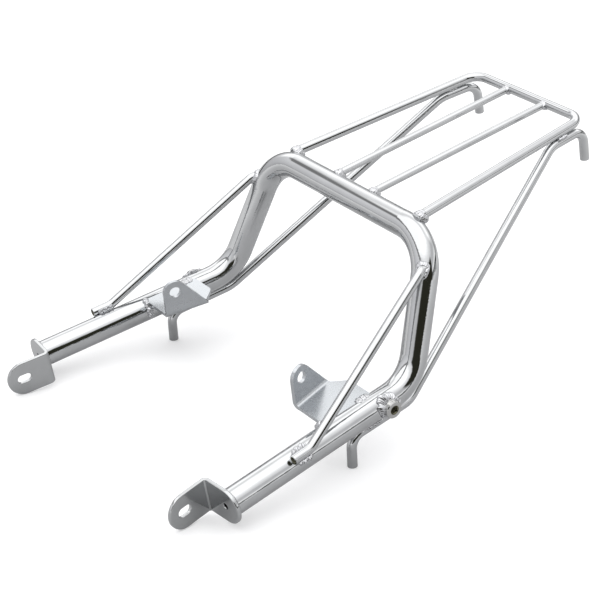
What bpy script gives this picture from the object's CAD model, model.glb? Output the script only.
import bmesh
import bpy
import numpy as np
from mathutils import Matrix


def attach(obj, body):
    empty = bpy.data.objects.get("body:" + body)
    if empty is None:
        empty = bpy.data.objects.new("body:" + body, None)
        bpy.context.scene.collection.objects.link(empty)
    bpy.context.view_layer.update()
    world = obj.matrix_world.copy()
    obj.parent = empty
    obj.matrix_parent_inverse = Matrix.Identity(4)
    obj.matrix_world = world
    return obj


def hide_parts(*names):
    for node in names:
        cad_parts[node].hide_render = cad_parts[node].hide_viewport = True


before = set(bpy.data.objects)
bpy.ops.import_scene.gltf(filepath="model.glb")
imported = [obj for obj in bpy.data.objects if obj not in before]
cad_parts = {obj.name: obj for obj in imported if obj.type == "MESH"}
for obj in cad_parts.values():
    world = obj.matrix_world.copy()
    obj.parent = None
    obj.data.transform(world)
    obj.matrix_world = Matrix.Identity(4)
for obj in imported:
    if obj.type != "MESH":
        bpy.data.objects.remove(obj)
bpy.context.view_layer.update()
scene = bpy.context.scene
scene.view_settings.view_transform = "Standard"
print("frame loaded")


# Camera, set by matching the rack's straight runs to the photograph
camera = {
    "place": (1.31845, -0.83110, 1.08640),
    "right": (0.59081, 0.79422, -0.14197),
    "up": (-0.37002, 0.42310, 0.82708),
    "back": (0.71695, -0.43612, 0.54385),
    "lens": 108.81,
    "sensor": 36.0,
    "clip": (0.05, 60.0),
}


def addCamera(spec):
    data = bpy.data.cameras.new("camera")
    data.lens = spec["lens"]
    data.sensor_width = spec["sensor"]
    data.clip_start, data.clip_end = spec["clip"]
    obj = bpy.data.objects.new("camera", data)
    turn = Matrix((spec["right"], spec["up"], spec["back"])).transposed()
    obj.matrix_world = Matrix.Translation(spec["place"]) @ turn.to_4x4()
    scene.collection.objects.link(obj)
    scene.camera = obj


addCamera(camera)


# A new material with an empty node tree
def newMaterial(name):
    mat = bpy.data.materials.new(name)
    mat.use_nodes = True
    mat.node_tree.nodes.clear()
    return mat, mat.node_tree.nodes, mat.node_tree.links


# Node helpers: each adds a node, fills its inputs and gives back its output
def ramp(nodes, links, value, stops):
    node = nodes.new("ShaderNodeValToRGB")
    elements = node.color_ramp.elements
    while len(elements) < len(stops):
        elements.new(0.5)
    for element, (place, colour) in zip(elements, stops):
        element.position = place
        element.color = (*colour, 1.0)
    links.new(value, node.inputs["Fac"])
    return node.outputs["Color"]


def mapped(nodes, links, value, fromLow, fromHigh, toLow, toHigh, kind="LINEAR"):
    node = nodes.new("ShaderNodeMapRange")
    node.interpolation_type = kind
    node.inputs["From Min"].default_value = fromLow
    node.inputs["From Max"].default_value = fromHigh
    node.inputs["To Min"].default_value = toLow
    node.inputs["To Max"].default_value = toHigh
    links.new(value, node.inputs["Value"])
    return node.outputs["Result"]


def smoothEdge(nodes, links, value, low, high, atLow=0.0, atHigh=1.0):
    return mapped(nodes, links, value, low, high, atLow, atHigh, "SMOOTHSTEP")


def calculated(nodes, links, operation, first, second):
    node = nodes.new("ShaderNodeMath")
    node.operation = operation
    links.new(first, node.inputs[0])
    links.new(second, node.inputs[1])
    return node.outputs["Value"]


def vectorMath(nodes, links, operation, vector, other=None):
    node = nodes.new("ShaderNodeVectorMath")
    node.operation = operation
    links.new(vector, node.inputs[0])
    if other is not None:
        node.inputs[1].default_value = other
    return node.outputs["Value" if operation in ("LENGTH", "DOT_PRODUCT") else "Vector"]


def mixed(nodes, links, amount, first, second):
    node = nodes.new("ShaderNodeMixRGB")
    links.new(amount, node.inputs["Fac"])
    links.new(first, node.inputs["Color1"])
    if isinstance(second, tuple):
        node.inputs["Color2"].default_value = (*second, 1.0)
    else:
        links.new(second, node.inputs["Color2"])
    return node.outputs["Color"]


def noise(nodes, links, place, scale, detail):
    node = nodes.new("ShaderNodeTexNoise")
    node.inputs["Scale"].default_value = scale
    node.inputs["Detail"].default_value = detail
    links.new(place, node.inputs["Vector"])
    return node.outputs["Fac"]


def bumped(nodes, links, height, strength, depth, normal=None):
    node = nodes.new("ShaderNodeBump")
    node.inputs["Strength"].default_value = strength
    node.inputs["Distance"].default_value = depth
    links.new(height, node.inputs["Height"])
    if normal is not None:
        links.new(normal, node.inputs["Normal"])
    return node.outputs["Normal"]


def cameraSees(nodes, links, seen, otherwise):
    rays = nodes.new("ShaderNodeLightPath")
    node = nodes.new("ShaderNodeMixShader")
    links.new(rays.outputs["Is Camera Ray"], node.inputs["Fac"])
    links.new(otherwise, node.inputs[1])
    links.new(seen, node.inputs[2])
    return node.outputs["Shader"]


# World: a soft box overhead, a dark gap at the horizon and pale walls, as three ramps for the front,
# the rear and the right side, and a dark opening on the side where the photographer stands. The
# camera itself sees plain white.
studio = {
    # colours over the height of a direction, from 0 straight down to 1 straight up
    "front": [(0.00, (0.34, 0.345, 0.345)), (0.482, (0.46, 0.465, 0.465)), (0.490, (0.03, 0.03, 0.03)),
              (0.522, (0.03, 0.03, 0.03)), (0.535, (0.60, 0.60, 0.61)), (0.62, (0.82, 0.82, 0.84)),
              (0.785, (1.05, 1.05, 1.07)), (0.81, (0.30, 0.30, 0.30)), (0.838, (0.30, 0.30, 0.30)),
              (0.858, (1.80, 1.80, 1.80)), (1.00, (1.80, 1.80, 1.80))],
    "rear": [(0.00, (0.34, 0.345, 0.345)), (0.482, (0.46, 0.465, 0.465)), (0.490, (0.05, 0.05, 0.05)),
             (0.522, (0.05, 0.05, 0.05)), (0.535, (0.60, 0.60, 0.61)), (0.60, (0.85, 0.85, 0.86)),
             (0.66, (1.30, 1.30, 1.31)), (0.70, (1.90, 1.90, 1.90)), (0.785, (1.72, 1.72, 1.72)),
             (0.83, (1.30, 1.30, 1.31)), (0.87, (1.15, 1.15, 1.16)), (0.92, (1.85, 1.85, 1.85)),
             (1.00, (1.95, 1.95, 1.95))],
    "right": [(0.00, (0.34, 0.345, 0.345)), (0.482, (0.46, 0.465, 0.465)), (0.490, (0.03, 0.03, 0.03)),
              (0.522, (0.03, 0.03, 0.03)), (0.532, (1.25, 1.25, 1.25)), (0.575, (1.25, 1.25, 1.25)),
              (0.62, (0.80, 0.80, 0.81)), (0.72, (0.78, 0.78, 0.79)), (0.80, (1.15, 1.15, 1.16)),
              (0.86, (1.40, 1.40, 1.41)), (0.92, (1.90, 1.90, 1.90)), (1.00, (1.95, 1.95, 1.95))],
    # each later ramp takes over from those before it along a way, between two distances along it
    "takesOver": {"rear": ((-0.2, 1.0, 0.0), (0.08, 0.30)), "right": ((1.0, 0.0, 0.0), (0.05, 0.35))},
    # the opening: its two edges round the horizon in radians from the right side, and its top
    "opening": {"front": (-0.95, -0.75), "rear": (0.38, 0.52), "top": (0.50, 0.60)},
    "openingColour": (0.035, 0.035, 0.025),
    "backdrop": (1.0, 1.0, 1.0),
}


def addWorld(spec):
    world = bpy.data.worlds.new("studio")
    scene.world = world
    world.use_nodes = True
    nodes = world.node_tree.nodes
    links = world.node_tree.links
    nodes.clear()
    coords = nodes.new("ShaderNodeTexCoord")
    direction = coords.outputs["Generated"]
    split = nodes.new("ShaderNodeSeparateXYZ")
    links.new(direction, split.inputs[0])
    height = mapped(nodes, links, split.outputs["Z"], -1.0, 1.0, 0.0, 1.0)
    walls = ramp(nodes, links, height, spec["front"])
    for side, (way, between) in spec["takesOver"].items():
        along = vectorMath(nodes, links, "DOT_PRODUCT", direction, way)
        share = smoothEdge(nodes, links, along, *between)
        walls = mixed(nodes, links, share, walls, ramp(nodes, links, height, spec[side]))
    turn = calculated(nodes, links, "ARCTAN2", split.outputs["Y"], split.outputs["X"])
    opening = spec["opening"]
    pastFront = smoothEdge(nodes, links, turn, *opening["front"])
    beforeRear = smoothEdge(nodes, links, turn, *opening["rear"], 1.0, 0.0)
    belowTop = smoothEdge(nodes, links, split.outputs["Z"], *opening["top"], 1.0, 0.0)
    inside = calculated(nodes, links, "MULTIPLY", pastFront, beforeRear)
    inside = calculated(nodes, links, "MULTIPLY", inside, belowTop)
    walls = mixed(nodes, links, inside, walls, spec["openingColour"])
    room = nodes.new("ShaderNodeBackground")
    links.new(walls, room.inputs["Color"])
    backdrop = nodes.new("ShaderNodeBackground")
    backdrop.inputs["Color"].default_value = (*spec["backdrop"], 1.0)
    out = nodes.new("ShaderNodeOutputWorld")
    links.new(cameraSees(nodes, links, backdrop.outputs[0], room.outputs[0]), out.inputs["Surface"])


addWorld(studio)


# Floor: a pale sheet under the tab tips and the front hooks, tilted as the rack leans on them
floor = {
    "half": 4.0,
    "through": (0.0, -0.0950, -0.0006),
    "normal": (0.0, 0.1736, 0.9848),
    # its colour and its own glow as the camera sees them, so that it is white with soft shadows
    "seenColour": (0.76, 0.76, 0.765),
    "seenGlow": 0.26,
    # its tone in reflections, from close by to far away
    "reach": (0.35, 1.60),
    "nearTone": (0.48, 0.48, 0.485),
    "farTone": (0.72, 0.72, 0.72),
}


# A square across the normal, through one point
def addFloor(spec):
    normal = np.array(spec["normal"])
    normal = normal / np.linalg.norm(normal)
    across = np.array((1.0, 0.0, 0.0))
    along = np.cross(normal, across)
    signs = np.array(((-1, -1), (1, -1), (1, 1), (-1, 1)))
    corners = np.array(spec["through"]) + spec["half"] * (signs[:, :1] * across + signs[:, 1:] * along)
    mesh = bpy.data.meshes.new("floor")
    mesh.from_pydata(corners, [], [(0, 1, 2, 3)])
    obj = bpy.data.objects.new("floor", mesh)
    scene.collection.objects.link(obj)
    mat, nodes, links = newMaterial("pale_floor")
    paper = nodes.new("ShaderNodeBsdfDiffuse")
    paper.inputs["Color"].default_value = (*spec["seenColour"], 1.0)
    glow = nodes.new("ShaderNodeEmission")
    glow.inputs["Strength"].default_value = spec["seenGlow"]
    lit = nodes.new("ShaderNodeAddShader")
    links.new(paper.outputs[0], lit.inputs[0])
    links.new(glow.outputs[0], lit.inputs[1])
    coords = nodes.new("ShaderNodeTexCoord")
    distance = vectorMath(nodes, links, "LENGTH", coords.outputs["Object"])
    away = mapped(nodes, links, distance, *spec["reach"], 0.0, 1.0)
    shade = nodes.new("ShaderNodeBsdfDiffuse")
    tone = ramp(nodes, links, away, [(0.0, spec["nearTone"]), (1.0, spec["farTone"])])
    links.new(tone, shade.inputs["Color"])
    out = nodes.new("ShaderNodeOutputMaterial")
    links.new(cameraSees(nodes, links, lit.outputs[0], shade.outputs[0]), out.inputs["Surface"])
    mesh.materials.append(mat)


addFloor(floor)
print("studio ready")


# Places of the rack's stock in millimetres, right side, as the bores, welds and threads follow it
rack = {
    "tubeRadius": 13.6,
    "rodRadius": 5.0,
    "innerRodRadius": 4.0,
    "braceRadius": 4.75,
    "braceGap": 0.1,
    "braceTurn": np.pi / 4,
    "armLength": 230.5,
    "armHalfRear": 153.0,
    "armSpread": 20.0,
    "bendY": -14.72,
    "armZ": 51.06,
    "crossY": 49.28,
    "crossZ": 174.76,
    "railZ": 184.06,
    "rearY": 292.28,
    "railHalfFront": 101.8,
    "railHalfRear": 81.8,
    "innerHalf": 28.4,
    "hoopHalfTop": 125.8,
    "stayBelow": 10.3,
    "plateFront": 107.9,
    "plateTop": 12.8,
    "plateUnder": 8.8,
    "bossAhead": 38.6,
    "bossRadius": 9.0,
    "bossFace": 20.0,
    "boreRadius": 3.4,
}
millimetre = 0.001  # in the scene's metres
armTurn = np.arctan2(rack["armSpread"], rack["armLength"])
sideways = np.array((np.cos(armTurn), np.sin(armTurn), 0.0))
forwards = np.array((np.sin(armTurn), -np.cos(armTurn), 0.0))
upwards = np.array((0.0, 0.0, 1.0))
acrossRack = np.array((1.0, 0.0, 0.0))
alongRack = np.array((0.0, 1.0, 0.0))


# Points on the arm's axis: the corner of the lower bend, moved forwards with the arm's spread
def armAt(ahead):
    ahead = np.atleast_1d(ahead)[:, None]
    corner = np.array((rack["armHalfRear"], rack["bendY"], rack["armZ"]))
    spread = rack["armSpread"] / rack["armLength"]
    return corner + ahead * np.array((spread, -1.0, 0.0))


# Points on the outer rail's axis, ahead of the rear rail
def railAt(ahead):
    ahead = np.atleast_1d(ahead)[:, None]
    corner = np.array((rack["railHalfRear"], rack["rearY"], rack["railZ"]))
    spread = (rack["railHalfFront"] - rack["railHalfRear"]) / (rack["rearY"] - rack["crossY"])
    return corner + ahead * np.array((spread, -1.0, 0.0))


# Vectors divided by their lengths
def unit(vectors):
    return vectors / np.linalg.norm(vectors, axis=-1, keepdims=True)


# Points on the axes of the bores of the brace and the boss
braceWay = np.cos(rack["braceTurn"]) * sideways + np.sin(rack["braceTurn"]) * upwards
braceAxis = armAt(0.0)[0] + (rack["tubeRadius"] + rack["braceRadius"] + rack["braceGap"]) * braceWay
bossAxis = armAt(rack["bossAhead"])[0] * (alongRack + upwards)

# Chrome and plate finishes. Streaks are given as the scales of their noise on the arms, those on the
# cross tube, and their strength. A bore turns dark within a distance of its axis, between two edges
# in metres.
oliveShade = (0.13, 0.125, 0.085)
rodStreaks = ((520.0, 12.0, 520.0), (520.0, 12.0, 520.0), 0.25)
finishes = {
    "tubeChrome": {
        "colour": (0.575, 0.583, 0.59), "rough": 0.035, "roughSpread": 0.035,
        "wave": 0.03, "waveScale": 18.0,
        "streaks": ((620.0, 9.0, 620.0), (9.0, 620.0, 620.0), 0.40),
    },
    "rodChrome": {
        "colour": (0.585, 0.593, 0.60), "rough": 0.035, "roughSpread": 0.035,
        "wave": 0.03, "waveScale": 30.0,
        "streaks": rodStreaks,
    },
    "braceChrome": {
        "colour": (0.585, 0.593, 0.60), "rough": 0.035, "roughSpread": 0.035,
        "wave": 0.03, "waveScale": 30.0,
        "streaks": rodStreaks,
        "bore": {"point": braceAxis, "way": forwards, "edge": (0.0034, 0.0037),
                 "colour": (0.16, 0.155, 0.11), "metal": 0.0},
    },
    "weldChrome": {
        "colour": (0.58, 0.585, 0.60), "rough": 0.10, "roughSpread": 0.10,
        "wave": 0.25, "waveScale": 220.0,
        "pits": {"scale": 200.0, "detail": 1.0, "between": (0.70, 0.76), "share": 0.85,
                 "colour": (0.06, 0.06, 0.05)},
    },
    "sheetChrome": {
        "colour": (0.54, 0.55, 0.555), "rough": 0.09, "roughSpread": 0.06,
        "wave": 0.04, "waveScale": 60.0,
        "streaks": ((700.0, 16.0, 700.0), (700.0, 16.0, 700.0), 0.22),
    },
    "innerSheet": {
        "colour": (0.54, 0.56, 0.58), "rough": 0.22, "roughSpread": 0.10,
        "wave": 0.05, "waveScale": 60.0,
        "streaks": ((900.0, 22.0, 900.0), (900.0, 22.0, 900.0), 0.10),
    },
    "bossSteel": {
        "colour": (0.56, 0.56, 0.55), "rough": 0.12, "roughSpread": 0.10,
        "wave": 0.10, "waveScale": 120.0,
        "bore": {"point": bossAxis, "way": acrossRack, "edge": (0.0046, 0.0052),
                 "colour": oliveShade, "metal": 1.0},
    },
    "boreSteel": {
        "colour": oliveShade, "rough": 0.28, "roughSpread": 0.12,
        "wave": 0.20, "waveScale": 400.0,
    },
}
# What all finishes share: depths in metres, the details of the noises, the heights between which the
# streaks turn from the arms' way to the cross tube's, and the film of slow noise
relief = {"waveDepth": 0.0006, "streakDepth": 0.0001, "detail": 2.0, "streakTurn": (0.150, 0.166)}
film = {
    "scale": 45.0, "detail": 4.0,
    "roughBetween": (0.35, 0.75), "tintBetween": (0.35, 0.65), "dim": 0.93,
}


# Drawing and polishing lines: fine noise stretched along the arms and, above a height, along the
# cross tube
def addStreaks(nodes, links, place, normal, armScales, crossScales, strength):
    lines = []
    for scales in (armScales, crossScales):
        stretched = vectorMath(nodes, links, "MULTIPLY", place, scales)
        lines.append(noise(nodes, links, stretched, 1.0, relief["detail"]))
    split = nodes.new("ShaderNodeSeparateXYZ")
    links.new(place, split.inputs[0])
    aloft = smoothEdge(nodes, links, split.outputs["Z"], *relief["streakTurn"])
    height = mixed(nodes, links, aloft, *lines)
    return bumped(nodes, links, height, strength, relief["streakDepth"], normal)


# The distance from a bore's axis: the length of the cross product of the axis's way and the line from
# its point. Every coordinate is taken as positive, so that one axis serves both sides.
def boreDistance(nodes, links, place, bore):
    oneSide = vectorMath(nodes, links, "ABSOLUTE", place)
    fromPoint = vectorMath(nodes, links, "SUBTRACT", oneSide, np.abs(bore["point"]) * millimetre)
    swept = vectorMath(nodes, links, "CROSS_PRODUCT", fromPoint, np.abs(bore["way"]))
    return vectorMath(nodes, links, "LENGTH", swept)


# Noise waves the surface a little, and a film of slow noise changes its roughness and brightness.
# Pits are dark where a fine noise is high.
def addFinish(name, spec):
    mat, nodes, links = newMaterial(name)
    coords = nodes.new("ShaderNodeTexCoord")
    place = coords.outputs["Object"]
    wave = noise(nodes, links, place, spec["waveScale"], relief["detail"])
    normal = bumped(nodes, links, wave, spec["wave"], relief["waveDepth"])
    if "streaks" in spec:
        normal = addStreaks(nodes, links, place, normal, *spec["streaks"])
    slow = noise(nodes, links, place, film["scale"], film["detail"])
    roughest = spec["rough"] + spec["roughSpread"]
    roughness = mapped(nodes, links, slow, *film["roughBetween"], spec["rough"], roughest)
    dim = tuple(film["dim"] * c for c in spec["colour"])
    surface = ramp(nodes, links, slow, list(zip(film["tintBetween"], (dim, spec["colour"]))))
    if "pits" in spec:
        pits = spec["pits"]
        grain = noise(nodes, links, place, pits["scale"], pits["detail"])
        inPit = smoothEdge(nodes, links, grain, *pits["between"], 0.0, pits["share"])
        surface = mixed(nodes, links, inPit, surface, pits["colour"])
    shader = nodes.new("ShaderNodeBsdfPrincipled")
    shader.inputs["Metallic"].default_value = 1.0
    if "bore" in spec:
        bore = spec["bore"]
        distance = boreDistance(nodes, links, place, bore)
        inBore = smoothEdge(nodes, links, distance, *bore["edge"], 1.0, 0.0)
        surface = mixed(nodes, links, inBore, surface, bore["colour"])
        metal = smoothEdge(nodes, links, distance, *bore["edge"], bore["metal"], 1.0)
        links.new(metal, shader.inputs["Metallic"])
    links.new(surface, shader.inputs["Base Color"])
    links.new(roughness, shader.inputs["Roughness"])
    links.new(normal, shader.inputs["Normal"])
    out = nodes.new("ShaderNodeOutputMaterial")
    links.new(shader.outputs[0], out.inputs["Surface"])
    return mat


materials = {name: addFinish(name, spec) for name, spec in finishes.items()}

finishOf = {
    "main_hoop": "tubeChrome",
    "rack_rail": "rodChrome",
    "inner_rail": "rodChrome",
    "stay_welds": "weldChrome",
    "brace_welds": "weldChrome",
    "stay": "rodChrome",
    "brace": "braceChrome",
    "threaded_boss": "bossSteel",
    "front_bracket_weld": "weldChrome",
    "inner_bracket_weld": "weldChrome",
    "boss_weld": "weldChrome",
    "rail_front_welds": "weldChrome",
    "rail_rear_welds": "weldChrome",
    "front_bracket": "sheetChrome",
    "inner_bracket": "sheetChrome",
}

for nodeName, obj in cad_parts.items():
    stem = nodeName.replace("_right", "").replace("_left", "")
    for slot in obj.material_slots:
        slot.material = materials[finishOf[stem]]
print("finishes on")

# How a weld bead's surface departs from a smooth one. Each ripple is a half wave between two creases,
# bowed towards the bead's middle; lumps are slow waves along the bead, out of step across it.
beadKinds = {
    "rod": {"pitch": 1.5, "ripple": 0.10, "bow": 0.45, "lump": 0.16, "lumpLength": 9.0},
    "seam": {"pitch": 1.9, "ripple": 0.07, "bow": 0.50, "lump": 0.17, "lumpLength": 6.0},
    "ring": {"pitch": 1.8, "ripple": 0.10, "bow": 0.40, "lump": 0.10, "lumpLength": 12.0},
    "boss": {"pitch": 1.5, "ripple": 0.12, "bow": 0.55, "lump": 0.22, "lumpLength": 9.0},
    "thread": {"pitch": 5.0, "ripple": 0.0, "bow": 0.0, "lump": 0.0, "lumpLength": 9.0},
}
beadForm = {
    "roundSteps": 22,
    "straightSteps": 90,
    "ringSteps": 220,
    "middle": np.pi / 4,  # the turn of the bead's middle
    "crease": 0.7,  # power of the half wave, below 1 for sharp creases
    "rippleMean": 0.6,
    "quickShare": 0.6,  # size of the quicker lumps beside the slow ones
    "quickShift": 2.3,
    "endPower": 6,  # the greater, the shorter the rounded ends
    "endShare": 0.001,
    "lean": 0.3,  # of a ring's second way, away from the tube's skin
}


# Even turns round a full circle
def circleTurns(count):
    return np.linspace(0.0, 2 * np.pi, count, endpoint=False)


# A bead is an ellipse carried along the joint's line: its two half widths lie along the two pieces,
# and are multiplied by one plus lumps plus ripples. An open bead shrinks at both ends to a very small
# ring, which a pole closes.
def beadGrid(line, firstWay, secondWay, firstLeg, secondLeg, kind, closed, phase):
    spec = beadKinds[kind]
    form = beadForm
    steps = np.diff(line, axis=0, append=line[:1] if closed else line[-1:])
    lengths = np.linalg.norm(steps, axis=1)
    run = np.concatenate(([0.0], np.cumsum(lengths)[:-1]))
    whole = lengths.sum()
    turns = circleTurns(form["roundSteps"])[None, :]
    ripples = max(1, round(whole / spec["pitch"]))
    lumps = max(2, round(whole / spec["lumpLength"]))
    share = run[:, None] / whole
    position = share * ripples + spec["bow"] * np.cos(2 * (turns - form["middle"]))
    ripple = np.sin(np.pi * (position % 1.0)) ** form["crease"]
    slow = np.sin(2 * np.pi * lumps * share + phase + np.sin(turns * 2 + phase))
    quick = np.sin(2 * np.pi * (2 * lumps + 1) * share + form["quickShift"] * phase - 2 * turns)
    lump = spec["lump"] * (slow + form["quickShare"] * quick) / (1.0 + form["quickShare"])
    size = 1.0 + spec["ripple"] * (ripple - form["rippleMean"]) + lump
    if not closed:
        fromMiddle = np.abs(2 * share - 1.0)
        size = size * np.clip(1.0 - fromMiddle ** form["endPower"], form["endShare"], 1.0) ** 0.5
    firstLeg = np.broadcast_to(firstLeg, run.shape)[:, None, None]
    secondLeg = np.broadcast_to(secondLeg, run.shape)[:, None, None]
    first = firstLeg * np.cos(turns)[:, :, None] * firstWay[:, None, :]
    second = secondLeg * np.sin(turns)[:, :, None] * secondWay[:, None, :]
    return line[:, None, :] + size[:, :, None] * (first + second), closed


# The line where a rod's skin runs into a tube's skin, from each line of the rod's skin and the
# circle that it meets, with the ways along the rod and along the tube's skin, both outwards. A rod
# or tube is a point, a way and a radius. Where the rod passes over the tube, the line stays the
# least distance from the rod's point.
def rodMeetsTube(rod, tube, turns, least=-np.inf):
    rodPoint, rodWay, rodRadius = rod
    tubePoint, tubeWay, tubeRadius = tube
    rodWay = unit(rodWay)
    tubeWay = unit(tubeWay)
    level = unit(np.cross(upwards, rodWay))
    above = np.cross(rodWay, level)
    turns = turns[:, None]
    outwards = np.cos(turns) * level + np.sin(turns) * above
    skin = rodPoint + rodRadius * outwards
    fromTube = skin - tubePoint
    flat = fromTube - (fromTube @ tubeWay)[:, None] * tubeWay
    flatWay = rodWay - (rodWay @ tubeWay) * tubeWay
    half = flat @ flatWay
    square = flatWay @ flatWay
    reach = np.sqrt(np.clip(half ** 2 - square * ((flat ** 2).sum(axis=1) - tubeRadius ** 2), 0.0, None))
    line = skin + np.maximum((reach - half) / square, least)[:, None] * rodWay
    normal = line - tubePoint
    normal = unit(normal - (normal @ tubeWay)[:, None] * tubeWay)
    along = outwards - (outwards * normal).sum(axis=1, keepdims=True) * normal
    return line, np.broadcast_to(rodWay, line.shape), unit(along + beadForm["lean"] * outwards)


# A vector from its shares along two directions, and a bead's two ways from two such pairs
def vectorFrom(shares, first, second):
    return shares[0] * first + shares[1] * second


def waysFrom(pairs, first, second):
    return [vectorFrom(shares, first, second) for shares in pairs]


# A straight bead between two points, with one pair of ways all along
def straightBead(start, end, firstWay, secondWay, leg, kind, phase):
    share = np.linspace(0.0, 1.0, beadForm["straightSteps"])[:, None]
    line = start + share * (end - start)
    firstWays = np.broadcast_to(unit(firstWay), line.shape)
    secondWays = np.broadcast_to(unit(secondWay), line.shape)
    return beadGrid(line, firstWays, secondWays, leg, leg, kind, False, phase)


# One mesh from several grids. Quads join neighbouring rings; an open bead's ends close on a pole.
# A shell whose volume comes out negative is turned round.
def addPiece(name, grids, finish, mirrored=False):
    points = []
    faces = []
    count = 0
    for grid, closed in grids:
        rings, around = grid.shape[:2]
        corners = grid.reshape(-1, 3)
        if mirrored:
            corners = corners * (-1.0, 1.0, 1.0)
        index = np.arange(rings * around).reshape(rings, around)
        following = np.roll(index, -1, axis=0) if closed else index[1:]
        current = index if closed else index[:-1]
        quadCorners = [current, np.roll(current, -1, axis=1), np.roll(following, -1, axis=1), following]
        quads = np.stack(quadCorners, axis=-1).reshape(-1, 4)
        triangles = np.concatenate((quads[:, (0, 1, 2)], quads[:, (0, 2, 3)]))
        if not closed:
            pole = np.full(around, len(corners))
            first = np.stack([pole, np.roll(index[0], -1), index[0]], axis=-1)
            last = np.stack([pole + 1, index[-1], np.roll(index[-1], -1)], axis=-1)
            poles = [corners[index[0]].mean(axis=0), corners[index[-1]].mean(axis=0)]
            corners = np.concatenate((corners, poles))
            triangles = np.concatenate((triangles, first, last))
        a, b, c = (corners[triangles[:, k]] for k in range(3))
        if (a * np.cross(b, c)).sum() < 0:
            triangles = triangles[:, ::-1]
        points.append(corners)
        faces.append(triangles + count)
        count = count + len(corners)
    mesh = bpy.data.meshes.new(name)
    mesh.from_pydata(np.concatenate(points) * millimetre, [], np.concatenate(faces))
    mesh.polygons.foreach_set("use_smooth", np.ones(len(mesh.polygons), dtype=bool))
    mesh.materials.append(materials[finish])
    obj = bpy.data.objects.new(name, mesh)
    scene.collection.objects.link(obj)
    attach(obj, "root")
    return obj


# Welds of the rails: a ring round each rail at the cross tube, and round each inner rail at the rear,
# spread more below the rail than above it
railWelds = {
    "outerLegs": (4.6, 3.6),
    "innerLegs": (3.8, 2.8),
    "rearLegs": (3.0, 2.4),
    "lap": 10.0,
    "evenShare": 0.70,
    "lowerShare": 0.42,
    "phases": (0.4, 2.1),
    "innerShift": 1.3,
    "rearShift": 2.9,
}


# The ring's width over the tube falls evenly with the height above the rail's axis
def railRing(spec, rod, sign, tube, legs, phase, least=-np.inf):
    flip = np.array((sign, 1.0, 1.0))
    point, way, radius = rod
    sideRod = (point * flip, way * flip, radius)
    line, firstWay, secondWay = rodMeetsTube(sideRod, tube, circleTurns(beadForm["ringSteps"]), least)
    rise = line[:, 2] - point[2]
    overLeg = legs[1] * (spec["evenShare"] - spec["lowerShare"] * rise / radius)
    return beadGrid(line, firstWay, secondWay, legs[0], overLeg, "rod", True, phase)


def addRailWelds(spec):
    crossTube = np.array((0.0, rack["crossY"], rack["crossZ"])), acrossRack, rack["tubeRadius"]
    rearRail = np.array((0.0, rack["rearY"], rack["railZ"])), acrossRack, rack["rodRadius"]
    outerPoint = railAt(rack["rearY"] - rack["crossY"])[0]
    outerRail = outerPoint, railAt(0.0)[0] - railAt(1.0)[0], rack["rodRadius"]
    innerPoint = np.array((rack["innerHalf"], rack["crossY"], rack["railZ"]))
    innerRail = innerPoint, alongRack, rack["innerRodRadius"]
    innerRear = innerPoint, -alongRack, rack["innerRodRadius"]
    frontGrids = []
    rearGrids = []
    for sign, phase in zip((1.0, -1.0), spec["phases"]):
        innerPhase = phase + spec["innerShift"]
        rearPhase = phase + spec["rearShift"]
        frontGrids += [
            railRing(spec, outerRail, sign, crossTube, spec["outerLegs"], phase, spec["lap"]),
            railRing(spec, innerRail, sign, crossTube, spec["innerLegs"], innerPhase, spec["lap"]),
        ]
        rearGrids.append(railRing(spec, innerRear, sign, rearRail, spec["rearLegs"], rearPhase))
    front = addPiece("railFrontBeads", frontGrids, "weldChrome")
    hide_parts("rail_front_welds")
    rear = addPiece("railRearBeads", rearGrids, "weldChrome")
    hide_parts("rail_rear_welds")


addRailWelds(railWelds)


# Welds of the stay: two seams in the grooves under the arm, one in the groove outside the rail
stayWelds = {
    "armRun": (67.0, 45.0),
    "armPlace": (3.0, -14.6),
    "armWays": ((0.75, -0.66), (0.95, 0.3)),
    "armLeg": 3.3,
    "railRun": (39.5, 27.0),
    "railOut": 2.4,
    "railWays": ((0.88, 0.48), (0.90, -0.43)),
    "railLeg": 3.9,
    "railShift": 0.5,
}


# Each seam is straight, along a groove beside the axis of the arm or of the rail
def stayGrids(spec, phase):
    grids = []
    for way in (-1.0, 1.0):
        start, end = armAt(spec["armRun"]) + vectorFrom(spec["armPlace"], way * sideways, upwards)
        ways = waysFrom(spec["armWays"], way * sideways, upwards)
        grids.append(straightBead(start, end, *ways, spec["armLeg"], "seam", phase + way))
    groove = np.array((spec["railOut"], 0.0, -rack["stayBelow"] / 2))
    start, end = railAt(spec["railRun"]) + groove
    ways = waysFrom(spec["railWays"], acrossRack, upwards)
    grids.append(straightBead(start, end, *ways, spec["railLeg"], "seam", phase + spec["railShift"]))
    return grids


# Welds of the brace: a seam on each side of its foot, and a ring where its end meets the upright,
# which has begun its upper bend there and so stands a little further in
braceWelds = {
    "footRun": (157.0, 139.0),
    "footRadius": 14.2,
    "footWays": ((0.8, 0.6), (0.2, 1.0)),
    "footLeg": 4.9,
    "grooveTurn": 0.22,
    "topShare": 0.8383,
    "topLegs": (3.4, 2.6),
    "elbow": (10.3, -15.6, 0.0),
    "bendInset": 2.6,
    "bendTurn": 0.336,
}


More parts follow.
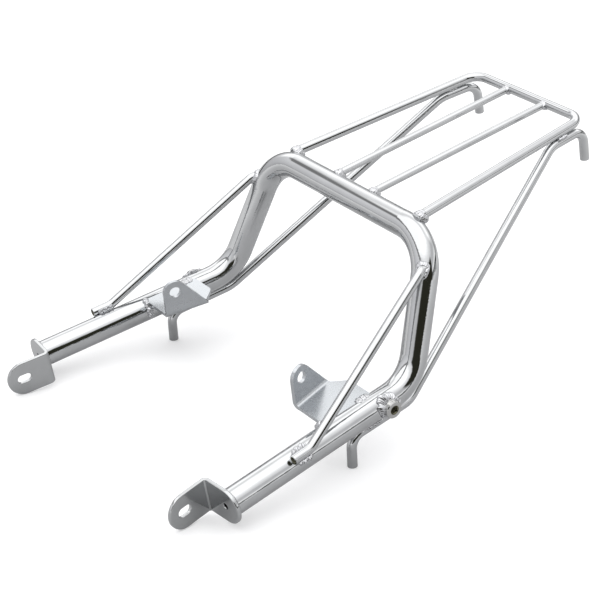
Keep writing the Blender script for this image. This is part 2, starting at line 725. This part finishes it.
# The foot's seams run along the arm, each at its own turn round it. The ring follows the brace's skin
# into the upright's, whose axis stands in by the inset and leans in by the bend's turn.
def braceGrids(spec, phase):
    grids = []
    for way in (-1.0, 1.0):
        turn = rack["braceTurn"] + way * spec["grooveTurn"]
        outwards = np.cos(turn) * sideways + np.sin(turn) * upwards
        around = -np.sin(turn) * sideways + np.cos(turn) * upwards
        start, end = armAt(spec["footRun"]) + spec["footRadius"] * outwards
        ways = waysFrom(spec["footWays"], outwards, way * around)
        grids.append(straightBead(start, end, *ways, spec["footLeg"], "seam", phase + way))
    low = armAt(0.0)[0]
    top = np.array((rack["hoopHalfTop"], rack["crossY"], rack["crossZ"]))
    upright = unit(top - low)
    inwards = unit(-acrossRack + (acrossRack @ upright) * upright)
    meeting = low + spec["topShare"] * (top - low)
    tubeWay = np.cos(spec["bendTurn"]) * upright + np.sin(spec["bendTurn"]) * inwards
    rod = meeting, np.array(spec["elbow"]), rack["braceRadius"]
    tube = meeting + spec["bendInset"] * inwards, tubeWay, rack["tubeRadius"]
    line, firstWay, secondWay = rodMeetsTube(rod, tube, circleTurns(beadForm["ringSteps"]))
    grids.append(beadGrid(line, firstWay, secondWay, *spec["topLegs"], "rod", True, phase))
    return grids


# Weld of the end plate: a ring in the corner between the tube's skin and the plate
plateWeld = {"legs": (2.4, 2.0), "steps": 460}


# A circle of the tube's radius round the arm's front end
def plateGrids(spec, phase):
    turns = circleTurns(spec["steps"])[:, None]
    outwards = np.cos(turns) * sideways + np.sin(turns) * upwards
    line = armAt(rack["armLength"]) + rack["tubeRadius"] * outwards
    back = np.broadcast_to(-forwards, line.shape)
    return [beadGrid(line, back, outwards, *spec["legs"], "ring", True, phase)]


# Weld of the boss: a ring round it on the arm's skin, spread widely over the skin above and ahead
bossWeld = {
    "legAlong": 3.2,
    "legOver": 3.2,
    "spread": 4.8,
    "spreadTurn": 2.2,
    "spreadWidth": 0.9,
    "steps": 420,
}


# The ring's width over the arm's skin grows round one turn by a bell curve
def bossGrids(spec, phase):
    seat = armAt(rack["bossAhead"])[0]
    turns = circleTurns(spec["steps"])
    boss = seat, acrossRack, rack["bossRadius"]
    arm = seat, forwards, rack["tubeRadius"]
    line, firstWay, secondWay = rodMeetsTube(boss, arm, turns)
    away = np.abs((turns - spec["spreadTurn"] + np.pi) % (2 * np.pi) - np.pi)
    legOver = spec["legOver"] + spec["spread"] * np.exp(-(away / spec["spreadWidth"]) ** 2)
    return [beadGrid(line, firstWay, secondWay, spec["legAlong"], legOver, "boss", True, phase)]


# Welds of the inner plate: on its upper face at the rear, under it at the front, and down the arm's
# skin along the plate's front edge
innerWelds = {
    "topRun": (50.0, 66.0),
    "topWays": ((-0.9, 0.3), (0.9, 0.45)),
    "underRun": (103.0, 89.0),
    "underWays": ((-0.9, -0.2), (-0.5, -0.9)),
    "edgeAhead": 0.2,
    "edgeHeights": (13.2, -5.0),
    "edgeSteps": 110,
    "edgeSpread": 1.1,
    "leg": 3.5,
    "shifts": (0.0, 1.0, 2.0),
}


# A line on the arm's skin at a height above its axis lies sideways from it by the root of the radius
# squared less the height squared
def innerGrids(spec, phase):
    radius = rack["tubeRadius"]
    seams = (
        (rack["plateTop"], spec["topRun"], spec["topWays"], spec["shifts"][0]),
        (rack["plateUnder"], spec["underRun"], spec["underWays"], spec["shifts"][1]),
    )
    grids = []
    for height, run, shares, shift in seams:
        start, end = armAt(run) + (upwards * height - sideways * np.sqrt(radius ** 2 - height ** 2))
        ways = waysFrom(shares, sideways, upwards)
        grids.append(straightBead(start, end, *ways, spec["leg"], "seam", phase + shift))
    heights = np.linspace(*spec["edgeHeights"], spec["edgeSteps"])[:, None]
    reach = np.sqrt(radius ** 2 - heights ** 2)
    line = armAt(rack["plateFront"] + spec["edgeAhead"]) - reach * sideways + heights * upwards
    outwards = unit(heights * upwards - reach * sideways)
    ahead = np.broadcast_to(forwards, line.shape)
    outLeg = spec["edgeSpread"] * spec["leg"]
    edgePhase = phase + spec["shifts"][2]
    grids.append(beadGrid(line, ahead, outwards, spec["leg"], outLeg, "seam", False, edgePhase))
    return grids


# Thread in the boss's bore: a ridge along a helix, from inside the mouth to the bore's inner end
thread = {
    "pitch": 1.25,
    "fromFace": 1.6,
    "turns": 9,
    "stepsPerTurn": 48,
    "ridge": (0.42, 0.62),
}


# A helix: the distance along the bore falls evenly as the turns grow
def threadGrids(spec, phase):
    share = np.linspace(0.0, 1.0, spec["turns"] * spec["stepsPerTurn"])[:, None]
    turns = 2 * np.pi * spec["turns"] * share
    inwards = -(np.cos(turns) * alongRack + np.sin(turns) * upwards)
    depth = rack["bossFace"] - spec["fromFace"] - spec["pitch"] * spec["turns"] * share
    line = armAt(rack["bossAhead"]) + depth * acrossRack - rack["boreRadius"] * inwards
    axial = np.broadcast_to(acrossRack, line.shape)
    return [beadGrid(line, axial, inwards, *spec["ridge"], "thread", False, phase)]


sidePieces = (
    ("stayBeads", stayGrids, stayWelds, "stay_welds", "chrome_weld", "weldChrome"),
    ("braceBeads", braceGrids, braceWelds, "brace_welds", "chrome_weld", "weldChrome"),
    ("plateBead", plateGrids, plateWeld, "front_bracket_weld", "chrome_weld", "weldChrome"),
    ("bossBead", bossGrids, bossWeld, "boss_weld", "chrome_weld", "weldChrome"),
    ("innerPlateBeads", innerGrids, innerWelds, "inner_bracket_weld", "chrome_weld", "weldChrome"),
    ("bossThread", threadGrids, thread, None, "boss_steel", "boreSteel"),
)
sides = (("right", False, 0.7), ("left", True, 3.1))  # name, mirrored, phase of the ripples and lumps
for pieceName, makeGrids, spec, nodeStem, slotName, finish in sidePieces:
    for sideName, mirrored, phase in sides:
        piece = addPiece(f"{pieceName}_{sideName}", makeGrids(spec, phase), finish, mirrored)
        if nodeStem:
            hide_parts(f"{nodeStem}_{sideName}")
print("welds and threads made")

# Brackets: the CAD's plates with their cut edges and corners rounded, in metres and radians
plates = {
    "edgeRadius": 0.0010,
    "segments": 3,
    "sharpFrom": 0.70,
    "flatWithin": 0.01,
    "joinWithin": 1e-6,
    "roundness": 0.5,
    "faceWeight": 100,
}


# The node's shape is copied, its loose triangles are joined, flat faces are made whole, and every
# edge that turns by more than the given angle is rounded.
def addPlate(name, nodeName, finish, spec):
    build = bmesh.new()
    build.from_mesh(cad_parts[nodeName].data)
    bmesh.ops.remove_doubles(build, verts=build.verts, dist=spec["joinWithin"])
    bmesh.ops.dissolve_limit(build, angle_limit=spec["flatWithin"], verts=build.verts, edges=build.edges)
    inner = [edge for edge in build.edges if len(edge.link_faces) == 2]
    sharp = [edge for edge in inner if edge.calc_face_angle() > spec["sharpFrom"]]
    bmesh.ops.bevel(build, geom=sharp, offset=spec["edgeRadius"], segments=spec["segments"],
                    profile=spec["roundness"], affect="EDGES", clamp_overlap=True)
    mesh = bpy.data.meshes.new(name)
    build.to_mesh(mesh)
    build.free()
    mesh.materials.clear()
    mesh.materials.append(materials[finish])
    mesh.polygons.foreach_set("use_smooth", np.ones(len(mesh.polygons), dtype=bool))
    mesh.polygons.foreach_set("material_index", np.zeros(len(mesh.polygons), dtype=np.int32))
    obj = bpy.data.objects.new(name, mesh)
    scene.collection.objects.link(obj)
    shading = obj.modifiers.new("flat faces", "WEIGHTED_NORMAL")
    shading.weight = spec["faceWeight"]
    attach(obj, "root")
    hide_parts(nodeName)


for sideName in ("right", "left"):
    addPlate(f"frontPlate_{sideName}", f"front_bracket_{sideName}", "sheetChrome", plates)
    addPlate(f"innerPlate_{sideName}", f"inner_bracket_{sideName}", "innerSheet", plates)
print("brackets made")
